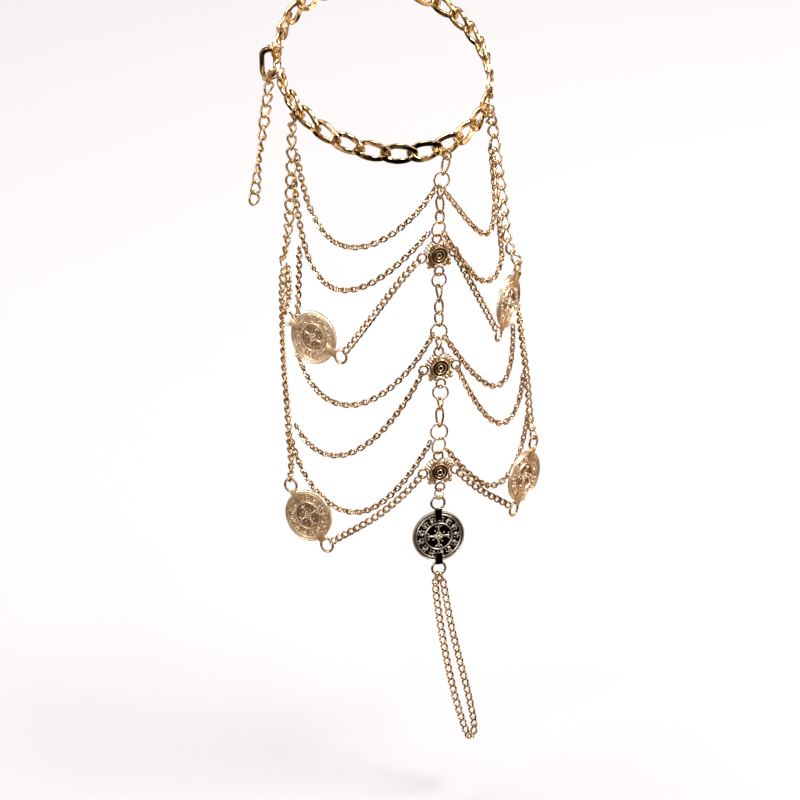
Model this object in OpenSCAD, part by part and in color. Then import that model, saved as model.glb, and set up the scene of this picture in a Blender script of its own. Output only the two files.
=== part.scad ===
// Foot-chain anklet: a curb ankle chain with clasp and extension, side chains,
// three four-loop medallions, five coins, hanging chains and a toe loop.
// Millimetres, +Z up. The origin is the middle of the ankle loop, and the instep
// lies towards -Y. Depth is counted downwards from the origin, and an angle is
// counted round the form from its front ridge, positive towards +X.

/* [Ankle chain] */
// Half of the ankle loop's width, to the middle of the chain
loop_half_w = 35; // [34:0.5:37]
// Half of the ankle loop's depth, to the middle of the chain
loop_half_d = 43.5; // [42:0.5:45]
// Drop of the front of the loop below its middle
loop_drop = 9; // [8:0.5:10]
// Number of curb links
curb_count = 28; // [27:1:29]
// Thickness of a curb link's wire
curb_wire = 1.7; // [1.5:0.1:1.8]
// Height of a curb link over its wires
curb_height = 6.9; // [6.6:0.1:7.2]
// Share of its thickness that a curb link keeps when it is pressed flat
curb_flat = 0.72; // [0.7:0.01:0.76]

/* [Fine chains] */
// Thickness of the wire in the extension and the upper side chains
wide_wire = 0.7; // [0.6:0.05:0.8]
// Width of a link in the extension and the upper side chains
wide_width = 4.1; // [3.9:0.1:4.2]
// Pitch of a link in the upper side chains
wide_pitch = 4.4; // [4.2:0.1:4.6]
// Pitch of a link in the extension
extension_pitch = 4.2; // [4.1:0.1:4.4]
// Thickness of the wire in the centre and coin chains' links
side_wire = 0.55; // [0.5:0.05:0.6]
// Width of a link in the centre and coin chains' links
side_width = 2.9; // [2.7:0.1:3]
// Pitch of a link in the centre and coin chains' links
side_pitch = 3.3; // [3.1:0.1:3.5]
// Thickness of the chains that carry the coins
coin_chain_d = 1.9; // [1.6:0.1:2]
// Thickness of the fine hanging chains
swag_d = 1.4; // [1.2:0.1:1.5]
// Thickness of the toe loop's chain
toe_chain_d = 2.1; // [1.8:0.1:2.2]

/* [Coins and medallions] */
// Diameter of a coin
coin_d = 18; // [17:0.5:18.5]
// Thickness of a coin's field
coin_t = 0.9; // [0.8:0.1:1.2]
// Distance from a coin's middle to the middle of each end ring
coin_reach = 11.9; // [11.8:0.1:12.2]
// Radius of a coin's end ring, to the middle of its wire
eyelet_r = 2.3; // [2.25:0.05:2.35]
// Thickness of a coin's end ring
eyelet_wire = 0.85; // [0.8:0.05:0.9]
// Diameter of a medallion's round bezel
bezel_d = 6.4; // [6:0.1:6.8]
// Distance from a medallion's middle to the middle of each loop
medal_reach = 5.3; // [5.2:0.1:5.6]
// Radius of a medallion's loop, to the middle of its wire
medal_loop_r = 1.55; // [1.5:0.05:1.6]
// Thickness of a medallion's loop
medal_wire = 0.75; // [0.7:0.05:0.8]

/* [Clasp] */
// Thickness of the clasp's body
clasp_t = 2; // [1.9:0.1:2.2]
// Thickness of the clasp's lever
lever_t = 1; // [0.9:0.05:1]
// Clearance of the lever in its slot and on its pin
lever_gap = 0.07; // [0.05:0.01:0.1]

/* [Hidden] */

// Front ridge form that the chains lie round: depth, half width, half depth
form_rows = [
    [-30, 31, 41], [0, 31.5, 40], [25, 33, 38], [50, 36, 35], [80, 40, 31], [110, 43, 26],
    [135, 41.5, 21], [160, 36.5, 16], [180, 31, 12], [200, 22, 7.5], [214, 11, 4], [222, 4, 2]];
// Forward lean of the form per millimetre of depth, at the loop and its growth
lean_start = 0.27;
lean_growth = 0.0015;

// Left side chain: depth, angle, lift off the form
left_rows = [[16, -81, 2], [30, -82, 2], [45, -83, 2], [57, -88, 2.2]];
left_strand_rows = [
    [63, -89, 2.4], [75, -91, 2.2], [90, -86, 2], [104, -80, 2], [116, -80, 2.2], [124, -81, 2.6]];
left_coin_rows = [[62, -82, 2], [69, -77, 2.6]];
// Right side chain: depth, angle, lift off the form
right_rows = [[20, 71, 2], [32, 70, 2], [45, 67, 2], [60, 61.5, 2]];
right_strand_rows = [[74, 63, 1.6], [85, 60.5, 1.6], [97, 57.5, 2], [108, 57, 2], [118, 56.5, 2.2]];
// Centre line, from the ankle chain down to the first medallion
centre_rows = [[33, 12.6, 1.6], [40, 11.8, 1.6], [46, 10.6, 1.6]];

// Medallions: depth, angle, lift
medal_rows = [[55.9, 8.8, 1.5], [94.1, 5.8, 1.5], [128.9, 2.8, 1.5]];
// Coins: depth and angle of the upper ring, depth and angle of the lower ring, lift of the
// middle, turn about the line through the rings
coin_rows = [
    [138.6, 1.2, 161.2, -0.6, 2.4, 0],
    [74.5, -72, 87, -35.5, 3.6, 0],
    [128.8, -80, 150.4, -56, 3.8, 0],
    [67.5, 56.5, 86, 34.5, 3.8, 16],
    [125.4, 54.5, 146.2, 39.5, 3.6, 20]];
// Hanging chains, from the side to the centre line: first depth and angle, last depth and
// angle, sag, skew of the sag, lift, length left out at the side and at the centre, lift there
swag_rows = [
    [22.1, -78.5, 32, 12, 24.1, 0.22, 1.2, 0, 2.4, 1.2],
    [31, -81.4, 47.9, 4.9, 26.1, 0.33, 1.2, 6, 0.6, 1.2],
    [82.5, -75, 82.6, 4, 21.3, 0.01, 1, 0, 0.7, 1],
    [110.8, -73.8, 96.3, -2.5, 17.1, -0.08, 1, 0, 2.25, 1],
    [114.8, -84.2, 119.1, -1.9, 22.2, -0.12, 1, 11, 0, 3.8],
    [25.4, 63.2, 33.4, 13.5, 23.2, 0.5, 1.2, 0, 2.5, 1.2],
    [62.7, 53.1, 46.8, 10.2, 12.8, 0, 1.2, 0, 2.8, 4.2],
    [86.1, 53.7, 83, 8.4, 19.1, 0.32, 1, 0, 2.2, 1],
    [103.2, 56.7, 93.4, 13, 18.3, -0.06, 1, 6, 2.25, 1],
    [117.1, 57.6, 119.9, 4.4, 18.6, 0.09, 1, 8, 3, 3.8]];
// Where a hanging chain first runs down beside its side chain: its number, the steps of its own
// way that are left out, and depth, angle and lift
climb_rows = [
    [2, 2, [[53, -71, 1.5], [57, -70.8, 1.4], [66, -70.6, 1.3], [77, -70.8, 1.2]]],
    [6, 0, [[30, 65, 1.6], [33, 64, 1.4], [37.8, 62.2, 1.4], [44.2, 59.3, 1.4], [49, 57, 1.3],
        [55.6, 55, 1.2]]]];
// Coin chains: sag and skew between a medallion's side loop and a coin's lower ring
coin_chain_rows = [[-1.6, 1.3], [3.4, 0.5], [0.4, 0], [2, 0.7]];
// Toe loop: depth and distance to the side, down one strand and back up the other
toe_rows = [
    [164.7, -1.8], [180, -1], [192, 0.4], [203, 2.2], [212, 4.5], [217, 6.6],
    [214, 8.5], [205, 7.4], [192, 4.9], [180, 2.7], [164.7, 0.9]];

// Loop angles of the first and last joint of the ankle chain
loop_start = -100.5;
loop_end = 251;
// Curb links that carry the left, centre and right chains
left_link = 2;
centre_link = 9;
right_link = 12;

// Clearance between a link and the wire that it hangs on
chain_gap = 0.24;
curb_gap = 0.36;
twist = 112;
link_fullness = 0.85;
hang_ring_r = 2;
ring_wire = 0.6;
hook_ring_r = 2.35;
link_sides = 10;
wire_sides = 5;
tube_sides = 8;
smooth = 48;
fine = 24;

gold = "gold";
pale_gold = "palegoldenrod";
antique = "darkkhaki";

// Vectors and tables

function unit(v) = v / norm(v);
function mix(a, b, t) = a + (b - a) * t;
function square_to(v, t) = unit(v - t * (v * t));
function seek(rows, x, i = 0) =
    (i >= len(rows) - 2 || x < rows[i + 1][0]) ? i : seek(rows, x, i + 1);
function rise(rows, c, i) =
    let(a = max(i - 1, 0), b = min(i + 1, len(rows) - 1))
    (rows[b][c] - rows[a][c]) / (rows[b][0] - rows[a][0]);
function hermite(a, b, m0, m1, t) =
    a + t * m0 + t * t * (3 * (b - a) - 2 * m0 - m1) + t * t * t * (m0 + m1 - 2 * (b - a));
function column_at(rows, c, x) =
    let(i = seek(rows, x), w = rows[i + 1][0] - rows[i][0])
    hermite(rows[i][c], rows[i + 1][c], rise(rows, c, i) * w, rise(rows, c, i + 1) * w,
        (x - rows[i][0]) / w);

// The form that the chains lie round

function lean(h) = atan(lean_start + lean_growth * h);
function spine(h) = [0, -h * (lean_start + lean_growth * h / 2), -h];
function form_w(h) = column_at(form_rows, 1, h);
function form_d(h) = column_at(form_rows, 2, h);
function skin(h, a, lift) =
    spine(h) + [
        (form_w(h) + lift) * sin(a),
        -cos(lean(h)) * (form_d(h) + lift) * cos(a),
        sin(lean(h)) * (form_d(h) + lift) * cos(a)];
function outward(p) =
    let(h = -p.z, e = p - spine(h), flat = unit([e.x / pow(form_w(h), 2), e.y / pow(form_d(h), 2), 0]))
    unit(flat - [0, 0, tan(lean(h)) * flat.y]);

// Paths and their lengths

function through(points, steps = 8) = [
    for (i = [0 : len(points) - 2], k = [0 : steps - 1])
        let(a = points[i], b = points[i + 1],
            before = points[max(i - 1, 0)], after = points[min(i + 2, len(points) - 1)])
        hermite(a, b, (b - before) / 2, (after - a) / 2, k / steps),
    points[len(points) - 1]];
function step_of(path, i) = i + 1 < len(path) ? norm(path[i + 1] - path[i]) : 0;
function marks(path) = [
    for (s = 0, i = 0; i < len(path); s = s + step_of(path, i), i = i + 1) [s, path[i]]];
function length_of(rail) = rail[len(rail) - 1][0];
function rail_at(rail, s) =
    let(i = seek(rail, s))
    mix(rail[i][1], rail[i + 1][1], (s - rail[i][0]) / (rail[i + 1][0] - rail[i][0]));
function spaced(path, trim_a, trim_b, count) =
    let(rail = marks(path), run = length_of(rail) - trim_a - trim_b)
    [for (i = [0 : count]) rail_at(rail, trim_a + run * i / count)];
function count_for(path, trim_a, trim_b, step) =
    round((length_of(marks(path)) - trim_a - trim_b) / step);
function skin_path(rows) = [for (r = rows) skin(r[0], r[1], r[2])];

// A frame is a place with its right, up and outward directions

function frame(c, up, out) = let(u = unit(up), n = square_to(out, u)) [c, cross(u, n), u, n];
function at(f, v) = f[0] + f[1] * v.x + f[2] * v.y + f[3] * v.z;
module placed(f) {
    multmatrix([
        [f[1].x, f[2].x, f[3].x, f[0].x],
        [f[1].y, f[2].y, f[3].y, f[0].y],
        [f[1].z, f[2].z, f[3].z, f[0].z],
        [0, 0, 0, 1]])
        children();
}

// Chains of twisted oval links

// A link's frame has its long axis along the chain and its pitch as the last value. The links
// at an end are rolled step by step, so that the last one's wire runs the given way there.
function half_turn(q) = q - 180 * round(q / 180);
function roll_to(way, f, hand, end) =
    is_undef(way) ? 0 : half_turn(atan2(way * f[3], way * f[2]) - hand * end * twist / 2);
function bare_link(a, b, out) =
    let(c = (a + b) / 2, t = unit(b - a), n = square_to(is_undef(out) ? outward(c) : out, t))
    [c, t, cross(n, t), n, norm(b - a)];
function links(joints, ways = [undef, undef], out = undef, hand = 1, run = 5) =
    let(last = len(joints) - 2,
        bare = [for (i = [0 : last]) bare_link(joints[i], joints[i + 1], out)],
        q0 = roll_to(ways[0], bare[0], hand, -1), q1 = roll_to(ways[1], bare[last], hand, 1))
    [for (i = [0 : last])
        let(f = bare[i], q = q0 * max(0, 1 - i / run) + q1 * max(0, 1 - (last - i) / run))
        [f[0], f[1], f[2] * cos(q) + f[3] * sin(q), f[3] * cos(q) - f[2] * sin(q), f[4]]];
function link_point(half_l, half_w, u) =
    let(r = twist / 2 * cos(u), y = half_w * sign(sin(u)) * pow(abs(sin(u)), link_fullness))
    [half_l * cos(u), y * cos(r), y * sin(r)];
function link_skin(half_l, half_w, wire, u, v) =
    let(c = link_point(half_l, half_w, u),
        t = unit(link_point(half_l, half_w, u + 1) - link_point(half_l, half_w, u - 1)),
        r = twist / 2 * cos(u),
        m = square_to([0, -sin(r), cos(r)], t))
    c + wire / 2 * (cos(v) * cross(t, m) + sin(v) * m);

// hand is 1 or -1 for the way in which the links are twisted
module chain(frames, wire, width, gap = chain_gap, flat = 1, hand = 1) {
    nu = link_sides;
    nv = wire_sides;
    points = [
        for (f = frames, i = [0 : nu - 1], j = [0 : nv - 1])
            let(half_l = (f[4] + wire + gap) / 2 / cos(180 / nu),
                p = link_skin(half_l, (width - wire) / 2, wire, (i + 0.5) * 360 / nu, j * 360 / nv))
            at(f, [p.x, p.y, p.z * flat * hand])];
    faces = [
        for (k = [0 : len(frames) - 1], i = [0 : nu - 1], j = [0 : nv - 1])
            let(base = k * nu * nv, i2 = (i + 1) % nu, j2 = (j + 1) % nv,
                a = base + i * nv + j, b = base + i2 * nv + j,
                c = base + i2 * nv + j2, d = base + i * nv + j2)
            each hand > 0 ? [[a, c, b], [a, d, c]] : [[a, b, c], [a, c, d]]];
    polyhedron(points, faces, convexity = 8);
}

// A chain too fine to build link by link is one tube along the same way

module tube(points, d, closed = false) {
    n = len(points);
    rings = [
        for (i = [0 : n - 1])
            let(a = points[closed ? (i + n - 1) % n : max(i - 1, 0)],
                b = points[closed ? (i + 1) % n : min(i + 1, n - 1)],
                t = unit(b - a), out = square_to(outward(points[i]), t), side = cross(t, out))
            for (j = [0 : tube_sides - 1])
                let(v = j * 360 / tube_sides)
                points[i] + d / 2 * (cos(v) * out + sin(v) * side)];
    last = closed ? n - 1 : n - 2;
    walls = [
        for (i = [0 : last], j = [0 : tube_sides - 1])
            let(i2 = (i + 1) % n, j2 = (j + 1) % tube_sides)
            each [
                [i * tube_sides + j, i2 * tube_sides + j, i2 * tube_sides + j2],
                [i * tube_sides + j, i2 * tube_sides + j2, i * tube_sides + j2]]];
    caps = closed ? [] : [
        [for (j = [0 : tube_sides - 1]) j],
        [for (j = [tube_sides - 1 : -1 : 0]) (n - 1) * tube_sides + j]];
    polyhedron(rings, concat(walls, caps), convexity = 8);
}
function ring_count(path, d) = ceil(length_of(marks(path)) / (2.8 * d));

module wire_ring(r, wire) {
    rotate_extrude($fn = smooth) translate([r, 0]) circle(d = wire, $fn = fine);
}
// A ring through two holes: its wire runs along way at a and at b
module ring_between(a, b, way, wire) {
    placed(frame((a + b) / 2, b - a, cross(b - a, way))) wire_ring(norm(b - a) / 2, wire);
}

// The ankle chain and what hangs from it

function loop_point(t) = [loop_half_w * sin(t), -loop_half_d * cos(t), -loop_drop * cos(t)];
loop_path = [for (i = [0 : 180]) loop_point(mix(loop_start, loop_end, i / 180))];
curb_frames = links(spaced(loop_path, 0, 0, curb_count));
curb_half_w = (curb_height - curb_wire) / 2;

module ankle_chain() {
    color(gold) chain(curb_frames, curb_wire, curb_height, curb_gap, curb_flat);
}

// The ring that hangs on the lower wire of a curb link: the link, how far the ring is slid along
// it from the middle, and how far it is turned on the wire
hang_drop = 0.57;
hang_rows = [[left_link, 0, -40], [centre_link, -1.9, -12], [right_link, 0, 0]];
function hang_frame(k) =
    let(row = [for (r = hang_rows) if (r[0] == k) r][0],
        f = curb_frames[k],
        half_l = (f[4] + curb_wire + curb_gap) / 2 / cos(180 / link_sides),
        q = link_point(half_l, curb_half_w, -sign(f[2].z) * acos(row[1] / half_l)),
        low = f[2] * -sign(f[2].z))
    frame(at(f, [q.x, q.y, q.z * curb_flat]) + low * hang_drop, low,
        f[1] * cos(row[2]) + f[3] * sin(row[2]));
module hang_ring(k) {
    color(gold) placed(hang_frame(k)) wire_ring(hang_ring_r, ring_wire);
}

// Clasp: the plane of its drawing has its eye above, its claw below and its lever at the right

clasp_at = [-37, 11.1, 0.3];
clasp_down = unit([-0.02, -0.1, -0.99]);
clasp_across = [1, -0.08, 0];
claw_r = 2.75;
claw_y = -2.7;
arch_y = 2.6;
hole_x = 0.25;
hole_r = 1.5;
mouth_y = -2.15;
mouth_top = 1.6;
eye = [2, 5.5, 0];
eye_r = 1.3;
eye_wire = 0.7;
pivot = [2.1, 2.7];
pin_r = 0.35;
knuckle_r = 1.1;
lever_r = 0.9;
tip = [2.25, -1.6];
tip_r = 0.45;
thumb = [3.3, 0.8];
thumb_r = 0.6;
slot_x = 0.9;

clasp_up = -clasp_down;
clasp_frame = frame(clasp_at, clasp_up, cross(clasp_across, clasp_up));

module clasp_outline() {
    difference() {
        union() {
            for (y = [claw_y, arch_y])
                translate([0, y]) circle(claw_r, $fn = smooth);
            translate([-claw_r, claw_y]) square([2 * claw_r, arch_y - claw_y]);
            translate(pivot) circle(knuckle_r, $fn = smooth);
        }
        for (y = [claw_y, arch_y])
            translate([hole_x, y]) circle(hole_r, $fn = smooth);
        translate([hole_x - hole_r, claw_y]) square([2 * hole_r, arch_y - claw_y]);
        translate([hole_x, mouth_y]) square([2 * claw_r, mouth_top - mouth_y]);
    }
}
module clasp_body() {
    color(gold) placed(clasp_frame) {
        difference() {
            union() {
                translate([0, 0, -clasp_t / 2]) linear_extrude(clasp_t) clasp_outline();
                translate(eye) rotate([0, 90, 0]) wire_ring(eye_r, eye_wire);
            }
            translate([slot_x, mouth_top - 0.2, -lever_t / 2 - lever_gap])
                cube([2 * claw_r, pivot.y + lever_r + 0.3 - mouth_top, lever_t + 2 * lever_gap]);
        }
        translate([pivot.x, pivot.y, -clasp_t / 2]) cylinder(h = clasp_t, r = pin_r, $fn = smooth);
    }
}
module lever_disc(c, r) {
    translate([c.x, c.y, -lever_t / 2]) cylinder(h = lever_t, r = r, $fn = smooth);
}
module clasp_lever() {
    color(gold) placed(clasp_frame) difference() {
        union() {
            lever_disc(pivot, lever_r);
            lever_disc(thumb, thumb_r);
            translate([0, 0, -lever_t / 2]) linear_extrude(lever_t) polygon([
                [pivot.x - 0.4, pivot.y - 0.4], [tip.x - tip_r, tip.y], [tip.x, tip.y - tip_r],
                [tip.x + tip_r, tip.y], [thumb.x - 0.5, thumb.y - 0.7], [thumb.x, thumb.y - 0.5],
                [thumb.x, thumb.y + 0.5], [pivot.x + 0.5, pivot.y + 0.4]]);
        }
        translate([pivot.x, pivot.y, -lever_t])
            cylinder(h = 2 * lever_t, r = pin_r + lever_gap, $fn = smooth);
    }
}

// The ring from the last curb link's hole to the clasp's eye
last_frame = curb_frames[curb_count - 1];
clasp_ring_way = [-0.12, 0.9, -0.42];
module clasp_ring() {
    a = at(clasp_frame, eye + [-0.1, 0.2, -0.25]);
    b = at(last_frame, [3.1, 0.3, -0.2]);
    color(gold) ring_between(a, b, clasp_ring_way, ring_wire);
}

// The ring in the claw, with the extension below it
claw_hold = at(clasp_frame, [hole_x, claw_y - hole_r + 1.2, 0]);
ring_low = claw_hold + clasp_down * 2 * hook_ring_r;
hook_way = unit(clasp_frame[3] - 0.46 * clasp_frame[1]);
module hook_ring() {
    color(gold) ring_between(claw_hold, ring_low, hook_way, ring_wire);
}
// The ring from the first curb link's hole to the hooked ring
first_frame = curb_frames[0];
extension_ring_way = [0.58, 0.6, -0.55];
module extension_ring() {
    a = at(first_frame, [-2.2, -0.8, -0.1]);
    b = (claw_hold + ring_low) / 2 + hook_way * 0.7 - clasp_up * 0.65;
    color(gold) ring_between(a, b, extension_ring_way, ring_wire);
}

// Extension: it hangs from the hook ring and leans outwards over the heel
extension_count = 11;
extension_way = unit([-0.15, -0.02, -1]);
extension_top = ring_low - clasp_down * (ring_wire / 2 + chain_gap / 2);
extension_out = [-0.3, -1, 0];
module extension_chain() {
    joints = [for (i = [0 : extension_count]) extension_top + extension_way * extension_pitch * i];
    frames = links(joints, [cross(clasp_down, hook_way), undef], extension_out, -1);
    color(gold) chain(frames, wide_wire, wide_width, hand = -1);
}

// Side chains

// A chain's end: the middle of the loop that it hangs on, the way through that loop, and the
// loop's radius and wire. The first joint lies just inside the loop's wire.
function hanging_end(k) = [hang_frame(k)[0], hang_frame(k)[3], hang_ring_r, ring_wire];
function link_ring_end() = [link_ring[0], link_ring[3], link_ring_r, ring_wire];
function coin_end(i, y) = [coin_eye(i, y), coin_frame(i)[3], eyelet_r, eyelet_wire];
function medal_end(i, y) = [medal_loop(i, 0, y), medal_frame(i)[3], medal_loop_r, medal_wire];
function first_joint(end, next) =
    let(q = end[0] + end[2] * square_to(next - end[0], end[1]))
    q - unit(next - q) * (end[3] + chain_gap) / 2;

module strand(a, rows, b, wire, width, pitch, out = undef) {
    inner = skin_path(rows);
    count = len(rows);
    path = through(concat(
        [first_joint(a, count > 0 ? inner[0] : b[0])], inner,
        [first_joint(b, count > 0 ? inner[count - 1] : a[0])]));
    joints = spaced(path, 0, 0, count_for(path, 0, 0, pitch));
    color(gold) chain(links(joints, [a[1], b[1]], out), wire, width);
}
link_ring_r = 2.3;
link_ring_at = skin(60, -88.5, 2.3);
link_ring = frame(link_ring_at, [0, 0, 1], [-1, -0.3, 0.05]);
left_out = [-0.35, -1, 0.3];
right_out = [0.35, -1, 0.3];
module left_column() {
    strand(hanging_end(left_link), left_rows, link_ring_end(), wide_wire, wide_width, wide_pitch, left_out);
}
module left_link_ring() {
    color(gold) placed(link_ring) wire_ring(link_ring_r, ring_wire);
}
module left_strand() {
    path = through(concat([link_ring[0]], skin_path(left_strand_rows), [coin_eye(2, 1)]));
    hung(path, link_ring_r + 1.4, eyelet_clear, coin_chain_d);
}
module left_coin_strand() {
    strand(link_ring_end(), left_coin_rows, coin_end(1, 1), side_wire, side_width, side_pitch);
}
module right_column() {
    strand(hanging_end(right_link), right_rows, coin_end(3, 1), wide_wire, wide_width, wide_pitch,
        right_out);
}
module right_strand() {
    path = through(concat([coin_eye(3, 1)], skin_path(right_strand_rows), [coin_eye(4, 1)]));
    hung(path, eyelet_clear, eyelet_clear, coin_chain_d);
}

// Medallions and the centre chain

function medal_frame(i) =
    let(r = medal_rows[i], c = skin(r[0], r[1], r[2]))
    frame(c, skin(r[0] - 1, r[1], r[2]) - skin(r[0] + 1, r[1], r[2]), outward(c));
function medal_loop(i, x, y) = at(medal_frame(i), [x * medal_reach, y * medal_reach, 0]);

bezel_h = 1.5;
plate_r = 3.9;
plate_t = 0.8;
dome_r = 1.5;
scroll_at = 3.9;
module medallion(i) {
    color(antique) placed(medal_frame(i)) {
        translate([0, 0, -plate_t / 2]) cylinder(h = plate_t, r = plate_r, $fn = smooth);
        difference() {
            translate([0, 0, 0]) cylinder(h = bezel_h, d = bezel_d, $fn = smooth);
            translate([0, 0, bezel_h - 0.5]) difference() {
                cylinder(h = 1, r = bezel_d / 2 - 0.55, $fn = smooth);
                cylinder(h = 1, r = dome_r + 0.15, $fn = smooth);
            }
            translate([0, 0, bezel_h - 0.3]) cylinder(h = 1, r = dome_r - 0.45, $fn = smooth);
        }
        translate([0, 0, bezel_h - 0.6]) sphere(0.75, $fn = smooth);
        for (q = [0 : 90 : 270])
            rotate(q) translate([medal_reach, 0, 0]) wire_ring(medal_loop_r, medal_wire);
        for (q = [45, 135], s = [-1, 0, 1])
            rotate(q + 17 * s) translate([scroll_at, 0, 0]) cylinder(h = 0.9, r = 0.5, $fn = fine);
        for (q = [225, 315]) {
            rotate(q) translate([scroll_at + 0.75, 0, 0.1]) sphere(0.65, $fn = fine);
            for (s = [-1, 1])
                rotate(q + 14 * s) translate([scroll_at, 0, 0.1]) sphere(0.65, $fn = fine);
        }
    }
}
module centre_chain_top() {
    strand(hanging_end(centre_link), centre_rows, medal_end(0, 1), side_wire, side_width, side_pitch);
}
module centre_chain_middle() {
    strand(medal_end(0, -1), [], medal_end(1, 1), side_wire, side_width, side_pitch);
}
module centre_chain_low() {
    strand(medal_end(1, -1), [], medal_end(2, 1), side_wire, side_width, side_pitch);
}
module coin_ring() {
    a = medal_loop(2, 0, -1) - medal_frame(2)[2] * (medal_loop_r - 0.85);
    b = coin_eye(0, 1) + coin_frame(0)[2] * (eyelet_r - 0.95);
    f = medal_frame(2);
    color(gold) ring_between(a, b, f[3] + 0.6 * f[1], ring_wire);
}

// Coins

function coin_frame(i) =
    let(r = coin_rows[i], a = skin(r[0], r[1], r[4]), b = skin(r[2], r[3], r[4]),
        c = skin((r[0] + r[2]) / 2, (r[1] + r[3]) / 2, r[4]), f = frame(c, a - b, outward(c)))
    frame(c, a - b, f[3] * cos(r[5]) + f[1] * sin(r[5]));
function coin_eye(i, y) = at(coin_frame(i), [0, y * coin_reach, 0]);

coin_r = coin_d / 2;
rim_h = 0.3;
bar_w = 2.6;
bar_l = 4.4;
bar_t = 0.7;
petal_count = 4;
rosette_count = 6;
bead_count = 18;
module coin(i) {
    color(pale_gold) placed(coin_frame(i)) {
        difference() {
            union() {
                rotate_extrude($fn = smooth) polygon([
                    [0, -coin_t / 2], [coin_r, -coin_t / 2], [coin_r, coin_t / 2 + rim_h],
                    [coin_r - 0.55, coin_t / 2 + rim_h], [coin_r - 0.75, coin_t / 2],
                    [coin_r - 1.15, coin_t / 2], [coin_r - 1.25, coin_t / 2 + rim_h * 0.8],
                    [coin_r - 1.6, coin_t / 2 + rim_h * 0.8], [coin_r - 1.7, coin_t / 2],
                    [coin_r * 0.53, coin_t / 2], [coin_r * 0.51, coin_t / 2 + rim_h],
                    [coin_r * 0.46, coin_t / 2 + rim_h], [coin_r * 0.44, coin_t / 2],
                    [0, coin_t / 2]]);
                for (k = [0 : bead_count - 1])
                    rotate((k + 0.5) * 360 / bead_count) translate([coin_r * 0.665, 0, coin_t / 2])
                        sphere(0.62, $fn = fine);
                for (k = [0 : rosette_count - 1])
                    rotate(k * 360 / rosette_count) translate([1.2, 0, coin_t / 2])
                        sphere(0.55, $fn = fine);
                translate([0, 0, coin_t / 2]) sphere(0.6, $fn = fine);
            }
            for (k = [0 : petal_count - 1])
                rotate((k + 0.5) * 360 / petal_count) translate([2.9, 0, coin_t / 2 - 0.2])
                    cylinder(h = 2, r = 0.85, $fn = fine);
        }
        for (y = [-1, 1]) {
            bar_y = y * (coin_reach - eyelet_r) - (y > 0 ? bar_l - 0.6 : 0.6);
            translate([-bar_w / 2, bar_y, coin_t / 2 - 0.1]) cube([bar_w, bar_l, bar_t]);
            translate([0, y * coin_reach, 0]) wire_ring(eyelet_r, eyelet_wire);
        }
    }
}

// Hanging chains

function ease(t) = let(u = min(max(t, 0), 1)) u * u * (3 - 2 * u);
function swag_path(r, a = undef, b = undef) =
    let(steps = 40,
        bare = [for (i = [0 : steps])
            let(t = i / steps)
            skin(mix(r[0], r[2], t) + 4 * r[4] * t * (1 - t) * (1 + r[5] * (1 - 2 * t)), mix(r[1], r[3], t),
                mix(r[6], r[9], ease(4 * t - 2)))],
        first = is_undef(a) ? [0, 0, 0] : a - bare[0],
        last = is_undef(b) ? [0, 0, 0] : b - bare[steps])
    [for (i = [0 : steps]) bare[i] + first * (1 - i / steps) + last * i / steps];
module hung(path, trim_a, trim_b, d) {
    color(gold) tube(spaced(path, trim_a, trim_b, ring_count(path, d)), d);
}
medal_clear = medal_loop_r + medal_wire / 2 + 0.25;
eyelet_clear = eyelet_r + eyelet_wire / 2 + 0.25;
// The fourth chain of each side goes to a loop of the middle medallion
side_count = 5;
looped = 3;
module swag(k) {
    r = swag_rows[k];
    side = k < side_count ? -1 : 1;
    end = k % side_count == looped ? medal_loop(1, side, 0) : undef;
    way = swag_path(r, undef, end);
    climb = [for (c = climb_rows) if (c[0] == k)
        each concat(skin_path(c[2]), [for (i = [c[1] : len(way) - 1]) way[i]])];
    hung(len(climb) > 0 ? through(climb, 3) : way, r[7], r[8], swag_d);
}
// Medallion, side and coin of each coin chain
coin_chain_lift = 1.1;
coin_chain_ends = [[0, -1, 1], [2, -1, 2], [0, 1, 3], [2, 1, 4]];
module coin_chain(k) {
    e = coin_chain_ends[k];
    m = medal_rows[e[0]];
    c = coin_rows[e[2]];
    sag = coin_chain_rows[k];
    row = [m[0], m[1], c[2], c[3], sag[0], sag[1], coin_chain_lift, 0, 0, coin_chain_lift];
    path = swag_path(row, medal_loop(e[0], e[1], 0), coin_eye(e[2], -1));
    hung(path, medal_clear, eyelet_clear, coin_chain_d);
}

// Toe loop

toe_lift = 1.5;
toe_points = [for (r = toe_rows) skin(r[0], asin(r[1] / (form_w(r[0]) + toe_lift)), toe_lift)];
module toe_ring() {
    a = coin_eye(0, -1) - coin_frame(0)[2] * (eyelet_r - 0.95);
    b = a - coin_frame(0)[2] * 3.2;
    color(gold) ring_between(a, b, coin_frame(0)[3] + 0.6 * coin_frame(0)[1], ring_wire);
}
module toe_loop() {
    path = through(concat([toe_points[len(toe_points) - 1]], toe_points), 5);
    ring = spaced(path, 0, 0, 24);
    color(gold) tube([for (i = [0 : 23]) ring[i]], toe_chain_d, true);
}

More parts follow.
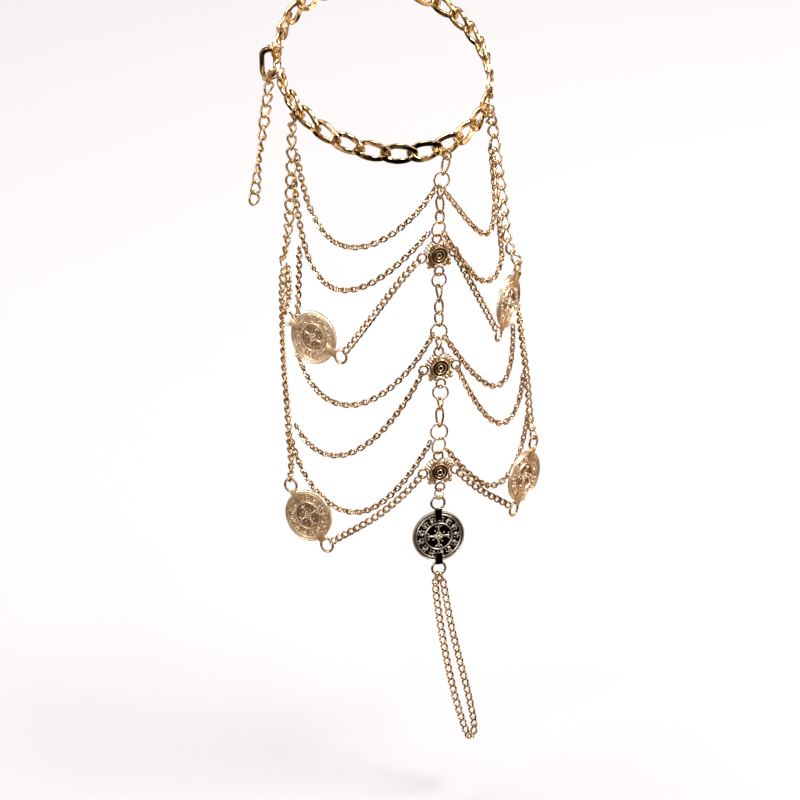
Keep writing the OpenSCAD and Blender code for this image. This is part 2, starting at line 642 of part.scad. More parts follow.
ankle_chain();
clasp_body();
clasp_lever();
clasp_ring();
hook_ring();
extension_ring();
extension_chain();
hang_ring(centre_link);  // centre_ring
hang_ring(left_link);  // left_ring
hang_ring(right_link);  // right_ring
left_column();
left_link_ring();
left_strand();
left_coin_strand();
right_column();
right_strand();
centre_chain_top();
centre_chain_middle();
centre_chain_low();
coin_ring();
toe_ring();
toe_loop();
medallion(0);  // medallion_top
medallion(1);  // medallion_middle
medallion(2);  // medallion_low
coin(0);  // coin_centre
coin(1);  // coin_left_upper
coin(2);  // coin_left_lower
coin(3);  // coin_right_upper
coin(4);  // coin_right_lower
coin_chain(0);  // coin_chain_left_upper
coin_chain(1);  // coin_chain_left_lower
coin_chain(2);  // coin_chain_right_upper
coin_chain(3);  // coin_chain_right_lower
swag(0);  // swag_left_1
swag(1);  // swag_left_2
swag(2);  // swag_left_3
swag(3);  // swag_left_4
swag(4);  // swag_left_5
swag(5);  // swag_right_1
swag(6);  // swag_right_2
swag(7);  // swag_right_3
swag(8);  // swag_right_4
swag(9);  // swag_right_5
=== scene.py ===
import math
from contextlib import contextmanager

import bpy
from mathutils import Matrix, Vector


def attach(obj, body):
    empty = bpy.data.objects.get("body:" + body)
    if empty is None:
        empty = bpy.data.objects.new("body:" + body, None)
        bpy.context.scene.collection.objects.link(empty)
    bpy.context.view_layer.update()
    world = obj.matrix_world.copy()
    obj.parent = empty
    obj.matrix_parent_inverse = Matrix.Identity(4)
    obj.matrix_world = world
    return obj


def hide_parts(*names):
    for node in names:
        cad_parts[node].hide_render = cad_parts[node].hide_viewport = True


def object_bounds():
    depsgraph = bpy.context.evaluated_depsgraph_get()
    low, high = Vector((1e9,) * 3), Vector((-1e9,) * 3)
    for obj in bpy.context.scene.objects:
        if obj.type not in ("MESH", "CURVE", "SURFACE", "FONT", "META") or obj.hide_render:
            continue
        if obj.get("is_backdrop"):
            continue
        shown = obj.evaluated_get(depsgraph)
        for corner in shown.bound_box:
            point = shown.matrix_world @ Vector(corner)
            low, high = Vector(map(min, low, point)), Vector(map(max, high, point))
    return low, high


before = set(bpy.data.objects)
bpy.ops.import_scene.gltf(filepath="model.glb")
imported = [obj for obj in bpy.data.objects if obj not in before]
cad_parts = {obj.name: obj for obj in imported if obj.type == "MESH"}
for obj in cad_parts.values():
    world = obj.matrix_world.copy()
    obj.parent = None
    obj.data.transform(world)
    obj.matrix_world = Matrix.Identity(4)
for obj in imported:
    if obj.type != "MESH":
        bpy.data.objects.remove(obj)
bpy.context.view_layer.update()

# Everything is worked out in millimetres and placed in metres
MM = 0.001

# The form that the chains lie round: depth, half width, half depth
FORM = [
    (-30, 31, 41), (0, 31.5, 40), (25, 33, 38), (50, 36, 35), (80, 40, 31), (110, 43, 26),
    (135, 41.5, 21), (160, 36.5, 16), (180, 31, 12), (200, 22, 7.5), (214, 11, 4), (222, 4, 2),
]
LEAN_START = 0.27
LEAN_GROWTH = 0.0015

# Depth, angle and lift along the side chains and the centre line
LEFT_ROWS = [(16, -81, 2), (30, -82, 2), (45, -83, 2), (57, -88, 2.2)]
LEFT_STRAND_ROWS = [
    (63, -89, 2.4), (75, -91, 2.2), (90, -86, 2), (104, -80, 2), (116, -80, 2.2), (124, -81, 2.6),
]
LEFT_COIN_ROWS = [(62, -82, 2), (69, -77, 2.6)]
RIGHT_ROWS = [(20, 71, 2), (32, 70, 2), (45, 67, 2), (60, 61.5, 2)]
RIGHT_STRAND_ROWS = [
    (74, 63, 1.6), (85, 60.5, 1.6), (97, 57.5, 2), (108, 57, 2), (118, 56.5, 2.2),
]
CENTRE_ROWS = [(33, 12.6, 1.6), (40, 11.8, 1.6), (46, 10.6, 1.6)]
# The way that the coarse links of the side columns face
LEFT_FACING = (-0.35, -1, 0.3)
RIGHT_FACING = (0.35, -1, 0.3)

# Centre chain: long links and jump rings in turn, each with its share of the length and its roll
CENTRE_PLANS = {
    "top": [
        ("link", 12.5, 75), ("ring", 11.5, 10), ("link", 9.5, 75), ("link", 12, 55),
        ("link", 9.5, 30), ("ring", 11.5, -10),
    ],
    "middle": [
        ("ring", 11.5, 5), ("link", 13.5, 78), ("link", 12, 15), ("link", 11.5, 35),
        ("ring", 13, 10), ("link", 10, 75),
    ],
    "low": [
        ("ring", 11, 15), ("link", 9, 78), ("link", 14, 45), ("ring", 12.5, 5),
        ("ring", 12.5, -25),
    ],
}

# Medallions, from the top: depth, angle, lift
MEDALS = [(55.9, 8.8, 1.5), (94.1, 5.8, 1.5), (128.9, 2.8, 1.5)]
# Coins: depth and angle of the upper ring and of the lower ring, lift of the middle, turn
COIN_NODES = [
    "coin_centre", "coin_left_upper", "coin_left_lower", "coin_right_upper", "coin_right_lower",
]
COINS = [
    (138.6, 1.2, 161.2, -0.6, 2.4, 0),
    (74.5, -72, 87, -35.5, 3.6, 0),
    (128.8, -80, 150.4, -56, 3.8, 0),
    (67.5, 56.5, 86, 34.5, 3.8, 16),
    (125.4, 54.5, 146.2, 39.5, 3.6, 20),
]
# Hanging chains, five at each side: depth and angle at the side and at the centre, sag, skew,
# lift, lift at the centre, length left out at the side and at the centre
SWAGS = [
    (22.1, -78.5, 32, 12, 24.1, 0.22, 1.2, 1.2, 0, 0.4),
    (31, -81.4, 47.9, 4.9, 26.1, 0.33, 1.2, 1.2, 0, 0),
    (82.5, -75, 82.6, 4, 21.3, 0.01, 1, 1, 0, 0),
    (110.8, -73.8, 96.3, -2.5, 17.1, -0.08, 1, 1, 0, 1),
    (114.8, -84.2, 119.1, -1.9, 22.2, -0.12, 1, 3.8, 0, -1.4),
    (25.4, 63.2, 33.4, 13.5, 23.2, 0.5, 1.2, 1.2, 0, 0.3),
    (62.7, 53.1, 46.8, 10.2, 12.8, 0, 1.2, 4.2, 0, 1),
    (86.1, 53.7, 83, 8.4, 19.1, 0.32, 1, 1, 0, 1),
    (103.2, 56.7, 93.4, 13, 18.3, -0.06, 1, 1, 0, 1),
    (117.1, 57.6, 119.9, 4.4, 18.6, 0.09, 1, 3.8, 0, 2),
]
SWAGS_A_SIDE = 5
# The swag of each side that ends on a loop of the middle medallion
MEDAL_SWAG = 4
SWAG_TWIST = 20
SWAG_ROLLS = (12, -74)
# Where a hanging chain first runs down beside its side chain: depth, angle, lift
CLIMBS = {
    2: [(53, -71, 1.5), (57, -70.8, 1.4), (66, -70.6, 1.3), (77, -70.8, 1.2)],
    6: [
        (30, 65, 1.6), (33, 64, 1.4), (37.8, 62.2, 1.4), (44.2, 59.3, 1.4), (49, 57, 1.3),
        (55.6, 55, 1.2),
    ],
}
# Points left out at the start of the curve that follows such a stretch
CLIMB_SKIP = {2: 2, 6: 0}
# Coin chains: medallion, its side, coin, sag, skew
COIN_CHAINS = [(0, -1, 1, -1.6, 1.3), (2, -1, 2, 3.4, 0.5), (0, 1, 3, 0.4, 0), (2, 1, 4, 2, 0.7)]
COIN_CHAIN_LIFT = 1.1
# How far the end link of a coin chain lies inside the wire that holds it
COIN_CHAIN_HOLD = 0.3
# Toe loop: depth and distance to the side, down one strand and back up the other
TOE_ROWS = [
    (164.7, -1.8), (180, -1), (192, 0.4), (203, 2.2), (212, 4.5), (217, 6.6),
    (214, 8.5), (205, 7.4), (192, 4.9), (180, 2.7), (164.7, 0.9),
]
TOE_LIFT = 1.5

# Ankle loop, as half sizes and angles, and its curb links as the CAD has them
LOOP_W = 35
LOOP_D = 43.5
LOOP_DROP = 9
LOOP_START = -100.5
LOOP_END = 251
LOOP_STEPS = 180
CURB_COUNT = 28
CURB_WIRE = 1.7
CURB_HEIGHT = 6.9
CURB_FLAT = 0.72
CURB_GAP = 0.36
CURB_SIDES = 10
# The finer curb link: its wire, pitch, points along it and round it, and half of its thickness
# where it is filed
FINE_CURB_WIRE = 1.8
FINE_CURB_PITCH = 8.5
FINE_CURB_SIDES = 44
FINE_CURB_WIRE_SIDES = 20
FILED_HALF = 0.5

# The curb links that rings hang on, with each ring's slide along the link and turn on its wire
LEFT_LINK, CENTRE_LINK, RIGHT_LINK = 2, 9, 12
HANG_ROWS = {LEFT_LINK: (0, -40), CENTRE_LINK: (-1.9, -12), RIGHT_LINK: (0, 0)}
HANG_DROP = 0.57

# Chain sizes: wire, width, pitch
WIDE = (0.85, 4.15, 4.4)
SIDE = (0.75, 3, 2.9)
CENTRE = (0.75, 3.4, 3.9)
COIN_CHAIN = (0.7, 2.6, 2.4)
SWAG = (0.62, 2.3, 1.72)
TOE = (0.7, 2.7, 2.7)
CHAIN_GAP = 0.24
# Twist of a link from end to end, and how full its oval is (1 is an ellipse, less is fuller)
TWIST = 112
FULLNESS = 0.85
# Links over which a chain turns from the way of its end ring into its own way
ROLL_RUN = 5

# Extension chain: pitch, links, way down, way that it faces, roll of each link
EXTENSION_PITCH = 4.2
EXTENSION_COUNT = 11
EXTENSION_WAY = (-0.15, -0.02, -1)
EXTENSION_FACING = (-0.3, -1, 0)
EXTENSION_ROLLS = (0, 0, 0, 10, 60, 78, 82, 70, 45, 20, 5)

# Rings, coins and medallions
RING_WIRE = 0.6
HANG_RING_R = 2
HOOK_RING_R = 2.35
LINK_RING_R = 2.3
LINK_RING_PLACE = (60, -88.5, 2.3)
LINK_RING_FACING = (-1, -0.3, 0.05)
EYELET_R = 2.3
EYELET_WIRE = 0.85
COIN_REACH = 11.9
MEDAL_REACH = 5.7
MEDAL_LOOP_R = 1.55
MEDAL_WIRE = 0.75
# The slit of a jump ring: its angle and half of its width, in degrees
SLIT_ANGLE = 40
SLIT_HALF = 3.3
# Rings over and under the centre coin: how far their ends lie inside a medallion's loop and a
# coin's eyelet, the toe ring's length and how far both turn aside
LOOP_HOLD = 0.85
EYELET_HOLD = 0.95
TOE_RING_LENGTH = 3.2
RING_TURN = 0.6

# Clasp: its middle, the way it hangs and the way of its side. Then its eye and the inside of its
# claw in its own frame, and the places in the end links of the loop that its rings go through
CLASP_PLACE = (-37, 11.1, 0.3)
CLASP_DOWN = (-0.02, -0.1, -0.99)
CLASP_SIDE = (1, -0.08, 0)
CLASP_EYE = (1.9, 5.7, -0.25)
CLAW_HOLD = (0.25, -3)
LAST_LINK_HOLD = (3.1, 0.3, -0.2)
FIRST_LINK_HOLD = (-2.2, -0.8, -0.1)
CLASP_RING_WAY = (-0.12, 0.9, -0.42)
EXTENSION_RING_WAY = (0.58, 0.6, -0.55)
EXTENSION_RING_OUT = 0.7
EXTENSION_RING_SINK = 0.65
HOOK_RING_TURN = 0.46

# Profiles of the medallion and of the coin: radius and height
BEZEL_PROFILE = [
    (0, -0.4), (3.3, -0.4), (3.6, -0.2), (3.6, 0.3), (3.2, 0.5), (3.2, 1.25), (3.05, 1.45),
    (2.85, 1.5), (2.7, 1.35), (2.62, 0.95), (2.2, 0.85), (2.1, 1.0), (2.0, 1.3), (1.85, 1.35),
    (1.7, 1.25), (1.6, 0.9), (1.2, 0.8), (1.1, 0.95), (1.0, 1.3), (0.85, 1.4), (0.7, 1.3),
    (0.62, 1.0), (0.3, 0.9), (0, 1.0),
]
RIB_WAY = [
    (2.9, 0, 0.2), (3.2, 0, 0.85), (3.9, 0, 1.1), (4.7, 0, 0.9), (5.1, 0, 0.3), (5.0, 0, -0.2),
]
RIB_WIRE = 0.74
RIB_SPACING = 13.5
# Beads of a medallion: place and radius
MEDAL_BEADS = [(5.0, 0, 0.75), (4.05, -1.15, 0.72), (4.05, 1.15, 0.72), (3.8, 0, 0.6)]
BEZEL_R = 3.1
COIN_PROFILE = [
    (0, -0.45), (8.6, -0.45), (8.9, -0.38), (9, -0.2), (9, 0.6), (8.92, 0.76), (8.7, 0.82),
    (8.56, 0.72), (8.48, 0.4), (8.12, 0.38), (8.04, 0.66), (7.9, 0.8), (7.7, 0.8), (7.58, 0.66),
    (7.5, 0.34), (5.0, 0.32), (4.92, 0.7), (4.78, 0.86), (4.55, 0.86), (4.42, 0.7), (4.34, 0.2),
    (0, 0.2),
]
# Scroll, beads and leaves that repeat round the band of a coin
BAND_COUNT = 13
BAND_Z = 0.4
SCROLL_WIRE = 0.44
SCROLL_WAY = [
    (5.35, -0.1), (5.55, 0.55), (6.1, 0.75), (6.5, 0.35), (6.45, -0.2), (6.75, -0.6),
    (7.25, -0.45),
]
BAND_BEADS = [
    (5.85, 0.2, (0.3, 0.3, 0.36), 0), (7.1, 0.45, (0.2, 0.5, 0.34), -12),
    (5.6, -0.85, (0.36, 0.18, 0.32), 20), (6.5, -1.05, (0.2, 0.34, 0.32), -30),
]
# Petals of the coin's middle: place, size and turn
ARM_Z = 0.25
ARM_BEADS = [
    (2.6, 0, (1.7, 0.42, 0.5), 0), (3.5, 0.85, (0.6, 0.3, 0.42), 55),
    (3.5, -0.85, (0.6, 0.3, 0.42), -55), (1.9, 1.2, (0.4, 0.3, 0.4), 40),
]
# The clips of a coin: width, length, thickness, height of the middle
CLIP_SIZE = (2.6, 4.4, 0.66)
CLIP_Z = 0.72
CLIP_OVERLAP = 0.6

# Camera, floor and lights, in metres
CAMERA_PLACE = (-0.2083, -0.8581, 0.4824)
CAMERA_WAY = (0.19817, 0.79482, -0.57358)
CAMERA_LENS = 135
FLOOR_PLACE = (0, 1.5, -0.235)
FLOOR_SIZE = 8
FLOOR_COLOUR = (0.606, 0.618, 0.662, 1)
BACKDROP_COLOUR = (0.9, 0.9, 0.91, 1)
# Lights: name, place, size, watts, colour
LIGHT_AIM = (0, -0.04, -0.1)
LIGHTS = [
    ("key", (0.7, -0.1, 0.9), (0.45, 0.45), 13, (1, 0.98, 0.95)),
    ("left_strip", (-0.9, -0.1, 0.35), (0.16, 0.8), 4, (1, 1, 1)),
    ("overhead", (-0.1, 0.6, 1.3), (1.2, 0.5), 14, (1, 1, 1)),
]
# The room that the metal reflects, from below to above: height, colour
ROOM_STOPS = [
    (0.0, (1.0, 0.9, 0.78)), (0.12, (0.7, 0.56, 0.42)), (0.2, (0.12, 0.07, 0.04)),
    (0.34, (0.16, 0.1, 0.06)), (0.4, (0.8, 0.66, 0.5)), (0.47, (0.2, 0.13, 0.08)),
    (0.64, (0.16, 0.1, 0.06)), (0.72, (1.0, 0.9, 0.77)), (0.8, (0.6, 0.5, 0.4)),
    (0.87, (0.08, 0.05, 0.03)), (1.0, (0.9, 0.8, 0.66)),
]
# The way towards the dark front of the room
FRONT_WAY = (0.15, -0.985, 0)


# Vectors, tables and paths

def vec(*v):
    return Vector(v)


def unit(v):
    return v.normalized()


def square_to(v, t):
    return (v - t * v.dot(t)).normalized()


def sin(a):
    return math.sin(math.radians(a))


def cos(a):
    return math.cos(math.radians(a))


def hermite(a, b, m0, m1, t):
    rest = b - a
    return a + m0 * t + (3 * rest - 2 * m0 - m1) * t * t + (m0 + m1 - 2 * rest) * t * t * t


def row_value(rows, c, x):
    """The value of column c at x, on a smooth curve through the rows."""
    i = 0
    while i < len(rows) - 2 and x >= rows[i + 1][0]:
        i += 1

    def rise(k):
        a, b = max(k - 1, 0), min(k + 1, len(rows) - 1)
        return (rows[b][c] - rows[a][c]) / (rows[b][0] - rows[a][0])

    w = rows[i + 1][0] - rows[i][0]
    return hermite(
        rows[i][c], rows[i + 1][c], rise(i) * w, rise(i + 1) * w, (x - rows[i][0]) / w)


def lean(h):
    return math.atan(LEAN_START + LEAN_GROWTH * h)


def spine(h):
    return vec(0, -h * (LEAN_START + LEAN_GROWTH * h / 2), -h)


def skin(h, a, lift):
    """The place at a depth and an angle, lifted off the form."""
    w = row_value(FORM, 1, h) + lift
    d = row_value(FORM, 2, h) + lift
    q = lean(h)
    return spine(h) + vec(w * sin(a), -math.cos(q) * d * cos(a), math.sin(q) * d * cos(a))


def outward(p):
    """The way out of the form at a place near it."""
    h = -p.z
    e = p - spine(h)
    flat = unit(vec(e.x / row_value(FORM, 1, h) ** 2, e.y / row_value(FORM, 2, h) ** 2, 0))
    return unit(flat - vec(0, 0, math.tan(lean(h)) * flat.y))


def skin_path(rows):
    return [skin(*row) for row in rows]


def through(points, steps=8):
    """A smooth path through these points."""
    path = []
    last = len(points) - 1
    for i in range(last):
        a, b = points[i], points[i + 1]
        before, after = points[max(i - 1, 0)], points[min(i + 2, last)]
        for k in range(steps):
            path.append(hermite(a, b, (b - before) / 2, (after - a) / 2, k / steps))
    return path + [points[last]]


def length_of(path):
    return sum((b - a).length for a, b in zip(path, path[1:]))


def spaced(path, trim_a, trim_b, count):
    """Places at even steps along a path, which is cut short at its ends."""
    run = length_of(path) - trim_a - trim_b
    places, i, gone = [], 0, 0
    for k in range(count + 1):
        s = trim_a + run * k / count
        while i < len(path) - 2 and gone + (path[i + 1] - path[i]).length < s:
            gone += (path[i + 1] - path[i]).length
            i += 1
        step = (path[i + 1] - path[i]).length
        places.append(path[i].lerp(path[i + 1], (s - gone) / step))
    return places


# A frame is a place with its right, up and outward directions

def frame_at(c, up, out):
    u = unit(up)
    n = square_to(out, u)
    return c, u.cross(n), u, n


def at(f, x, y, z=0):
    return f[0] + f[1] * x + f[2] * y + f[3] * z


def matrix_of(f, stretch=1):
    m = Matrix.Identity(4)
    for k, axis in enumerate((f[1] * stretch, f[2], f[3], f[0])):
        for row in range(3):
            m[row][k] = axis[row] * MM
    return m


# The frame of a link has its right along the chain, and the distance between its joints at the end

def half_turn(q):
    return q - 180 * round(q / 180)


def roll_to(way, f, hand, end):
    if way is None:
        return 0
    q = math.degrees(math.atan2(way.dot(f[3]), way.dot(f[2])))
    return half_turn(q - hand * end * TWIST / 2)


def link_frames(joints, ways=(None, None), out=None, hand=1, rolls=(0,)):
    """Frames of the links between joints. The ways are those of the wires at the two ends."""
    bare = []
    for a, b in zip(joints, joints[1:]):
        c, t = (a + b) / 2, unit(b - a)
        n = square_to(out or outward(c), t)
        bare.append((c, t, n.cross(t), n, (b - a).length))
    last = len(bare) - 1
    q0 = roll_to(ways[0], bare[0], hand, -1)
    q1 = roll_to(ways[1], bare[last], hand, 1)
    frames = []
    for i, f in enumerate(bare):
        near0, near1 = max(0, 1 - i / ROLL_RUN), max(0, 1 - (last - i) / ROLL_RUN)
        q = q0 * near0 + q1 * near1 + rolls[i % len(rolls)]
        y, z = f[2] * cos(q) + f[3] * sin(q), f[3] * cos(q) - f[2] * sin(q)
        frames.append((f[0], f[1], y, z, f[4]))
    return frames


def link_point(half_l, half_w, u, twist=TWIST, fullness=FULLNESS):
    """A point of the twisted oval that a link's wire follows."""
    r = twist / 2 * cos(u)
    y = half_w * math.copysign(abs(sin(u)) ** fullness, sin(u))
    return vec(half_l * cos(u), y * cos(r), y * sin(r))


def first_joint(end, towards):
    """Where a chain's first link hangs on a ring, given as middle, way, radius and wire."""
    q = end[0] + end[2] * square_to(towards - end[0], end[1])
    return q - unit(towards - q) * (end[3] + CHAIN_GAP) / 2


def path_between(a, rows, b):
    """The path of a chain from one ring to another, past the places of the rows."""
    inner = skin_path(rows)
    start = first_joint(a, inner[0] if inner else b[0])
    end = first_joint(b, inner[-1] if inner else a[0])
    return through([start, *inner, end])


# Places that the CAD gives to the loop, the rings, the coins and the medallions

def loop_point(t):
    return vec(LOOP_W * sin(t), -LOOP_D * cos(t), -LOOP_DROP * cos(t))


loop_path = [
    loop_point(LOOP_START + (LOOP_END - LOOP_START) * i / LOOP_STEPS)
    for i in range(LOOP_STEPS + 1)]
curb_frames = link_frames(spaced(loop_path, 0, 0, CURB_COUNT))


def hang_frame(k):
    f = curb_frames[k]
    slide, turned_by = HANG_ROWS[k]
    half_l = (f[4] + CURB_WIRE + CURB_GAP) / 2 / cos(180 / CURB_SIDES)
    half_w = (CURB_HEIGHT - CURB_WIRE) / 2
    side = -math.copysign(1, f[2].z)
    q = link_point(half_l, half_w, side * math.degrees(math.acos(slide / half_l)))
    low = f[2] * side
    place = at(f, q.x, q.y, q.z * CURB_FLAT) + low * HANG_DROP
    return frame_at(place, low, f[1] * cos(turned_by) + f[3] * sin(turned_by))


def medal_frame(i):
    h, a, lift = MEDALS[i]
    c = skin(h, a, lift)
    return frame_at(c, skin(h - 1, a, lift) - skin(h + 1, a, lift), outward(c))


def medal_loop(i, x, y):
    return at(medal_frame(i), x * MEDAL_REACH, y * MEDAL_REACH)


def coin_frame(i):
    h0, a0, h1, a1, lift, aside = COINS[i]
    a, b = skin(h0, a0, lift), skin(h1, a1, lift)
    c = skin((h0 + h1) / 2, (a0 + a1) / 2, lift)
    f = frame_at(c, a - b, outward(c))
    return frame_at(c, a - b, f[3] * cos(aside) + f[1] * sin(aside))


def coin_eye(i, y):
    return at(coin_frame(i), 0, y * COIN_REACH)


def hanging_end(k):
    f = hang_frame(k)
    return f[0], f[3], HANG_RING_R, RING_WIRE


def coin_end(i, y):
    return coin_eye(i, y), coin_frame(i)[3], EYELET_R, EYELET_WIRE


def medal_end(i, y):
    return medal_loop(i, 0, y), medal_frame(i)[3], MEDAL_LOOP_R, MEDAL_WIRE


link_ring = frame_at(skin(*LINK_RING_PLACE), vec(0, 0, 1), vec(*LINK_RING_FACING))
link_ring_end = (link_ring[0], link_ring[3], LINK_RING_R, RING_WIRE)

clasp_down = unit(vec(*CLASP_DOWN))
clasp_up = -clasp_down
clasp_frame = frame_at(vec(*CLASP_PLACE), clasp_up, vec(*CLASP_SIDE).cross(clasp_up))
claw_hold = at(clasp_frame, *CLAW_HOLD)
ring_low = claw_hold + clasp_down * 2 * HOOK_RING_R
hook_way = unit(clasp_frame[3] - clasp_frame[1] * HOOK_RING_TURN)
extension_ring_low = (
    (claw_hold + ring_low) / 2 + hook_way * EXTENSION_RING_OUT - clasp_up * EXTENSION_RING_SINK)


def ring_between(a, b, way):
    """The frame and the radius of a ring that lies from a to b, square to this way."""
    return frame_at((a + b) / 2, b - a, (b - a).cross(way)), (b - a).length / 2


# Working with pieces: a model is made in millimetres at the origin, and its copies are placed

def only(*objects):
    bpy.ops.object.select_all(action="DESELECT")
    for o in objects:
        o.select_set(True)
    bpy.context.view_layer.objects.active = objects[0]


@contextmanager
def editing(piece):
    only(piece)
    bpy.ops.object.mode_set(mode="EDIT")
    bpy.ops.mesh.select_all(action="SELECT")
    yield
    bpy.ops.object.mode_set(mode="OBJECT")


def in_scene(name, data):
    piece = bpy.data.objects.new(name, data)
    bpy.context.scene.collection.objects.link(piece)
    return piece


def joined(objects, name):
    only(*objects)
    if len(objects) > 1:
        bpy.ops.object.join()
    piece = bpy.context.object
    piece.name = name
    piece.data.name = name
    return piece


def bevelled(piece, name, width, angle=None):
    """The piece with its edges rounded."""
    bevel = piece.modifiers.new(name, "BEVEL")
    bevel.width = width
    bevel.segments = 3
    if angle:
        bevel.angle_limit = math.radians(angle)
    only(piece)
    bpy.ops.object.modifier_apply(modifier=bevel.name)


def copy_of(model, matrix):
    data = model.data.copy()
    data.transform(matrix)
    return in_scene(model.name, data)


def laid(model, matrices, name):
    """Copies of a model at these places, joined into one piece."""
    return joined([copy_of(model, m) for m in matrices], name)


def discard(model):
    bpy.data.meshes.remove(model.data)


def turn(q):
    return Matrix.Rotation(math.radians(q), 4, "Z")


def shift(x, y, z=0):
    return Matrix.Translation((x, y, z))


def turned(profile, name, steps=64):
    """A profile of radius and height, spun round the Z axis into a closed shape."""
    data = bpy.data.meshes.new(name)
    points = [(r, 0, z) for r, z in profile]
    data.from_pydata(points, [(i, i + 1) for i in range(len(points) - 1)], [])
    piece = in_scene(name, data)
    with editing(piece):
        bpy.ops.mesh.spin(steps=steps, angle=math.tau, center=(0, 0, 0), axis=(0, 0, 1))
        bpy.ops.mesh.select_all(action="SELECT")
        bpy.ops.mesh.remove_doubles(threshold=0.0005)
        bpy.ops.mesh.normals_make_consistent(inside=False)
    return piece


def torus(radius, wire, sides, wire_sides):
    bpy.ops.mesh.primitive_torus_add(
        major_segments=sides, minor_segments=wire_sides, major_radius=radius,
        minor_radius=wire / 2)
    return bpy.context.object


def bead(x, y, z, size, turned_by=0, rings=6, segments=10):
    """A rounded grain of metal, of the size given along its own axes."""
    bpy.ops.mesh.primitive_uv_sphere_add(segments=segments, ring_count=rings, radius=1)
    piece = bpy.context.object
    piece.data.transform(shift(x, y, z) @ turn(turned_by) @ Matrix.Diagonal((*size, 1)))
    return piece


def wire_along(points, wire, closed, sides):
    """A wire along these points, as a mesh."""
    curve = bpy.data.curves.new("wire", "CURVE")
    curve.dimensions = "3D"
    spline = curve.splines.new("POLY")
    spline.points.add(len(points) - 1)
    for slot, p in zip(spline.points, points):
        slot.co = (*p, 1)
    spline.use_cyclic_u = closed
    curve.bevel_depth = wire / 2
    curve.bevel_resolution = (sides - 4) // 2
    curve.use_fill_caps = not closed
    only(in_scene("wire", curve))
    bpy.ops.object.convert(target="MESH")
    return bpy.context.object


def link_model(
        wire, width, pitch, sides, wire_sides, twist=TWIST, depth=1, gap=0.08,
        fullness=FULLNESS):
    """A link of a chain at the origin, with its joints half a pitch to both sides."""
    half_l = (pitch + wire + gap) / 2
    half_w = (width - wire) / 2
    points = [
        link_point(half_l, half_w, (i + 0.5) * 360 / sides, twist, fullness)
        for i in range(sides)]
    return wire_along([vec(p.x, p.y, p.z * depth) for p in points], wire, True, wire_sides)


def chain_of(model, frames, pitch, name):
    """A chain of this link. The model itself goes."""
    piece = laid(model, [matrix_of(f, f[4] / pitch) for f in frames], name)
    discard(model)
    return piece


def dressed(piece, *materials):
    piece.data.materials.clear()
    for material in materials:
        piece.data.materials.append(material)


def finished(piece, node, body="anklet", smooth=50):
    """The piece shaded smooth, riding on its body, in the place of its CAD node."""
    only(piece)
    bpy.ops.object.shade_smooth_by_angle(angle=math.radians(smooth))
    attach(piece, body)
    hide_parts(node)


def gilded(piece, material, node, body="anklet", smooth=50):
    dressed(piece, material)
    finished(piece, node, body, smooth)


# Finishes. The relief-toned ones carry painted shade and painted highlight

def new_material(name):
    material = bpy.data.materials.new(name)
    material.use_nodes = True
    tree = material.node_tree
    shader = tree.nodes["Principled BSDF"]
    shader.inputs["Metallic"].default_value = 1
    place = tree.nodes.new("ShaderNodeTexCoord").outputs["Object"]
    return material, tree, shader, place


def noise(tree, place, scale, detail=3, stretch=None):
    if stretch:
        mapping = tree.nodes.new("ShaderNodeMapping")
        mapping.inputs["Scale"].default_value = stretch
        mapping.inputs["Rotation"].default_value = (0.4, 0.7, 0.3)
        tree.links.new(place, mapping.inputs["Vector"])
        place = mapping.outputs["Vector"]
    node = tree.nodes.new("ShaderNodeTexNoise")
    node.inputs["Scale"].default_value = scale
    node.inputs["Detail"].default_value = detail
    tree.links.new(place, node.inputs["Vector"])
    return node.outputs["Fac"]


def ramp(tree, value, stops):
    node = tree.nodes.new("ShaderNodeValToRGB")
    elements = node.color_ramp.elements
    for element, (spot, colour) in zip(elements, (stops[0], stops[-1])):
        element.position = spot
        element.color = (*colour, 1)
    for spot, colour in stops[1:-1]:
        elements.new(spot).color = (*colour, 1)
    tree.links.new(value, node.inputs["Fac"])
    return node.outputs["Color"]


def ranged(tree, value, low, high, new_low, new_high):
    node = tree.nodes.new("ShaderNodeMapRange")
    keys = ("From Min", "From Max", "To Min", "To Max")
    for key, number in zip(keys, (low, high, new_low, new_high)):
        node.inputs[key].default_value = number
    tree.links.new(value, node.inputs["Value"])
    return node.outputs["Result"]


def combined(tree, operation, a, b, clamp=False):
    node = tree.nodes.new("ShaderNodeMath")
    node.operation = operation
    node.use_clamp = clamp
    tree.links.new(a, node.inputs[0])
    tree.links.new(b, node.inputs[1])
    return node.outputs[0]


def bump(tree, shader, height, strength, distance):
    node = tree.nodes.new("ShaderNodeBump")
    node.inputs["Strength"].default_value = strength
    node.inputs["Distance"].default_value = distance
    tree.links.new(height, node.inputs["Height"])
    tree.links.new(node.outputs["Normal"], shader.inputs["Normal"])


def polished(name, deep, mid, pale, rough, scratch):
    """Polished plate: cloudy variation of tone, uneven gloss and hairline scratches."""
    material, tree, shader, place = new_material(name)
    cloud = noise(tree, place, 420, 4)
    tone = ramp(tree, cloud, [(0.3, deep), (0.5, mid), (0.7, pale)])
    tree.links.new(tone, shader.inputs["Base Color"])
    gloss = noise(tree, place, 1500, 3)
    tree.links.new(ranged(tree, gloss, 0.3, 0.7, *rough), shader.inputs["Roughness"])
    hair = noise(tree, place, 900, 5, (1, 14, 1))
    bump(tree, shader, hair, scratch, 0.00006)
    return material


